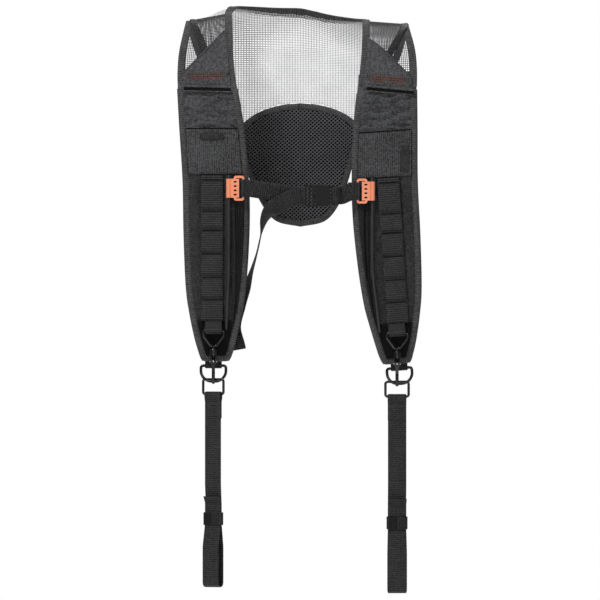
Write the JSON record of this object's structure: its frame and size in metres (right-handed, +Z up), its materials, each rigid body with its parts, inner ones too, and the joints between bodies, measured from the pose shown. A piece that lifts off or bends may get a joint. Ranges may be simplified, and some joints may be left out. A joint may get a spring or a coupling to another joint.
{
  "type": "padded load harness",
  "caption": "Padded shoulder harness with mesh yoke, sliding sternum strap and hanging belt straps on swivel hooks.",
  "frame": {"origin": "the point between the shoulders that rests on the wearer, level with the crest of the yoke", "axes": "+X to the viewer's right, -Y out of the front, +Z up; the straps hang along -Z"},
  "size_m": [0.343, 0.1515, 0.8208],
  "materials": {
    "nylon": "woven black nylon, slightly creased",
    "ribbed_nylon": "ribbed black nylon, soft sheen",
    "open_mesh": "open knitted mesh, black",
    "grey_mesh": "fine knitted mesh, light grey",
    "air_mesh": "spacer mesh with diamond holes",
    "binding_tape": "grosgrain binding, matte",
    "webbing": "nylon webbing, fine ribs across",
    "piping": "woven piping",
    "foam": "closed cell foam",
    "label_cloth": "blank woven label",
    "orange_plastic": "moulded orange acetal",
    "black_plastic": "moulded black acetal",
    "black_metal": "black plated steel, semi gloss",
    "steel": "spring steel"
  },
  "bodies": {
    "harness": {"pad_foam_left": "foam", "pad_foam_right": "foam", "pad_face_left": "nylon", "pad_face_right": "nylon", "pad_liner_left": "air_mesh", "pad_liner_right": "air_mesh", "pad_binding_left": "binding_tape", "pad_binding_right": "binding_tape", "shoulder_mesh_left": "open_mesh", "shoulder_mesh_right": "open_mesh", "arm_binding_left": "binding_tape", "arm_binding_right": "binding_tape", "yoke_patch_left": "nylon", "yoke_patch_right": "nylon", "stabiliser_webbing_left": "webbing", "stabiliser_webbing_right": "webbing", "chest_sleeve_left": "ribbed_nylon", "chest_sleeve_right": "ribbed_nylon", "label_left": "label_cloth", "label_right": "label_cloth", "daisy_webbing_left": "webbing", "daisy_webbing_right": "webbing", "slider_rail_left": "piping", "slider_rail_right": "piping", "end_tab_left": "webbing", "end_tab_right": "webbing", "back_mesh": "grey_mesh", "neck_binding": "binding_tape", "back_pad_face": "air_mesh", "back_pad_foam": "foam", "back_pad_shell": "nylon", "back_pad_binding": "binding_tape"},
    "slider_left": {"sternum_slider_left": "orange_plastic", "sternum_webbing_left": "webbing", "sternum_tail": "webbing", "buckle_male": "black_plastic"},
    "slider_right": {"sternum_slider_right": "orange_plastic", "sternum_webbing_right": "webbing", "buckle_female": "black_plastic"},
    "prong_upper": {"buckle_prong_upper": "black_plastic"},
    "prong_lower": {"buckle_prong_lower": "black_plastic"},
    "eye_left": {"hook_eye_left": "black_metal"},
    "hook_left": {"hook_body_left": "black_metal", "gate_pin_left": "steel", "gate_spring_left": "steel"},
    "gate_left": {"hook_gate_left": "black_metal"},
    "end_ring_left": {"end_ring_left": "black_metal"},
    "strap_ring_left": {"strap_ring_left": "black_metal"},
    "strap_left": {"lower_strap_left": "webbing"},
    "keeper_left": {"loop_keeper_left": "webbing"},
    "eye_right": {"hook_eye_right": "black_metal"},
    "hook_right": {"hook_body_right": "black_metal", "gate_pin_right": "steel", "gate_spring_right": "steel"},
    "gate_right": {"hook_gate_right": "black_metal"},
    "end_ring_right": {"end_ring_right": "black_metal"},
    "strap_ring_right": {"strap_ring_right": "black_metal"},
    "strap_right": {"lower_strap_right": "webbing"},
    "keeper_right": {"loop_keeper_right": "webbing"}
  },
  "joints": [
    {"name": "slider_left_slide", "type": "slide", "parent": "harness", "child": "slider_left", "axis": [0, 0, 1], "range_m": [-0.095, 0.004]},
    {"name": "slider_right_slide", "type": "slide", "parent": "harness", "child": "slider_right", "axis": [0, 0, 1], "range_m": [-0.095, 0.004]},
    {"name": "prong_upper_press", "type": "hinge", "parent": "slider_left", "child": "prong_upper", "pos_m": [0.0197, -0.076, -0.2376], "axis": [0, 1, 0], "range_deg": [0, 7], "stiffness_Nm_per_rad": 0.3},
    {"name": "prong_lower_press", "type": "hinge", "parent": "slider_left", "child": "prong_lower", "pos_m": [0.0197, -0.076, -0.2544], "axis": [0, -1, 0], "range_deg": [0, 7], "stiffness_Nm_per_rad": 0.3},
    {"name": "eye_left_swing", "type": "hinge", "parent": "harness", "child": "eye_left", "pos_m": [-0.122, -0.075, -0.435], "axis": [-1, 0, 0], "range_deg": [0, 75]},
    {"name": "hook_left_swivel", "type": "hinge", "parent": "eye_left", "child": "hook_left", "pos_m": [-0.122, -0.075, -0.463], "axis": [0, 0, 1], "continuous": true},
    {"name": "gate_left_open", "type": "hinge", "parent": "hook_left", "child": "gate_left", "pos_m": [-0.122, -0.0816, -0.478], "axis": [1, 0, 0], "range_deg": [0, 20], "stiffness_Nm_per_rad": 0.05, "springref_deg": -11.46},
    {"name": "strap_ring_left_rock", "type": "hinge", "parent": "hook_left", "child": "strap_ring_left", "pos_m": [-0.122, -0.075, -0.5031], "axis": [0.5, 0.866, 0], "range_deg": [-12, 12]},
    {"name": "strap_left_swing", "type": "hinge", "parent": "strap_ring_left", "child": "strap_left", "pos_m": [-0.122, -0.075, -0.5237], "axis": [0.866, -0.5, 0], "range_deg": [-60, 60]},
    {"name": "keeper_left_slide", "type": "slide", "parent": "strap_left", "child": "keeper_left", "axis": [0, 0, 1], "range_m": [0, 0.008]},
    {"name": "end_ring_left_swing", "type": "hinge", "parent": "harness", "child": "end_ring_left", "pos_m": [-0.122, -0.047, -0.484], "axis": [1, 0, 0], "range_deg": [0, 80]},
    {"name": "eye_right_swing", "type": "hinge", "parent": "harness", "child": "eye_right", "pos_m": [0.13512, -0.075, -0.43843], "axis": [-1, 0, 0], "range_deg": [0, 75]},
    {"name": "hook_right_swivel", "type": "hinge", "parent": "eye_right", "child": "hook_right", "pos_m": [0.13512, -0.075, -0.46643], "axis": [0, 0, 1], "continuous": true},
    {"name": "gate_right_open", "type": "hinge", "parent": "hook_right", "child": "gate_right", "pos_m": [0.13512, -0.0816, -0.48143], "axis": [1, 0, 0], "range_deg": [0, 20], "stiffness_Nm_per_rad": 0.05, "springref_deg": -11.46},
    {"name": "strap_ring_right_rock", "type": "hinge", "parent": "hook_right", "child": "strap_ring_right", "pos_m": [0.13512, -0.075, -0.50653], "axis": [-0.1392, 0.9903, 0], "range_deg": [-12, 12]},
    {"name": "strap_right_swing", "type": "hinge", "parent": "strap_ring_right", "child": "strap_right", "pos_m": [0.13512, -0.075, -0.52713], "axis": [0.9903, 0.1392, 0], "range_deg": [-60, 60]},
    {"name": "keeper_right_slide", "type": "slide", "parent": "strap_right", "child": "keeper_right", "axis": [0, 0, 1], "range_m": [0, 0.008]},
    {"name": "end_ring_right_swing", "type": "hinge", "parent": "harness", "child": "end_ring_right", "pos_m": [0.13836, -0.047, -0.48732], "axis": [0.9978, 0, 0.0663], "range_deg": [0, 80]}
  ],
  "couplings": [
    {"joint": "slider_right_slide", "follows": "slider_left_slide", "ratio": 1}
  ]
}
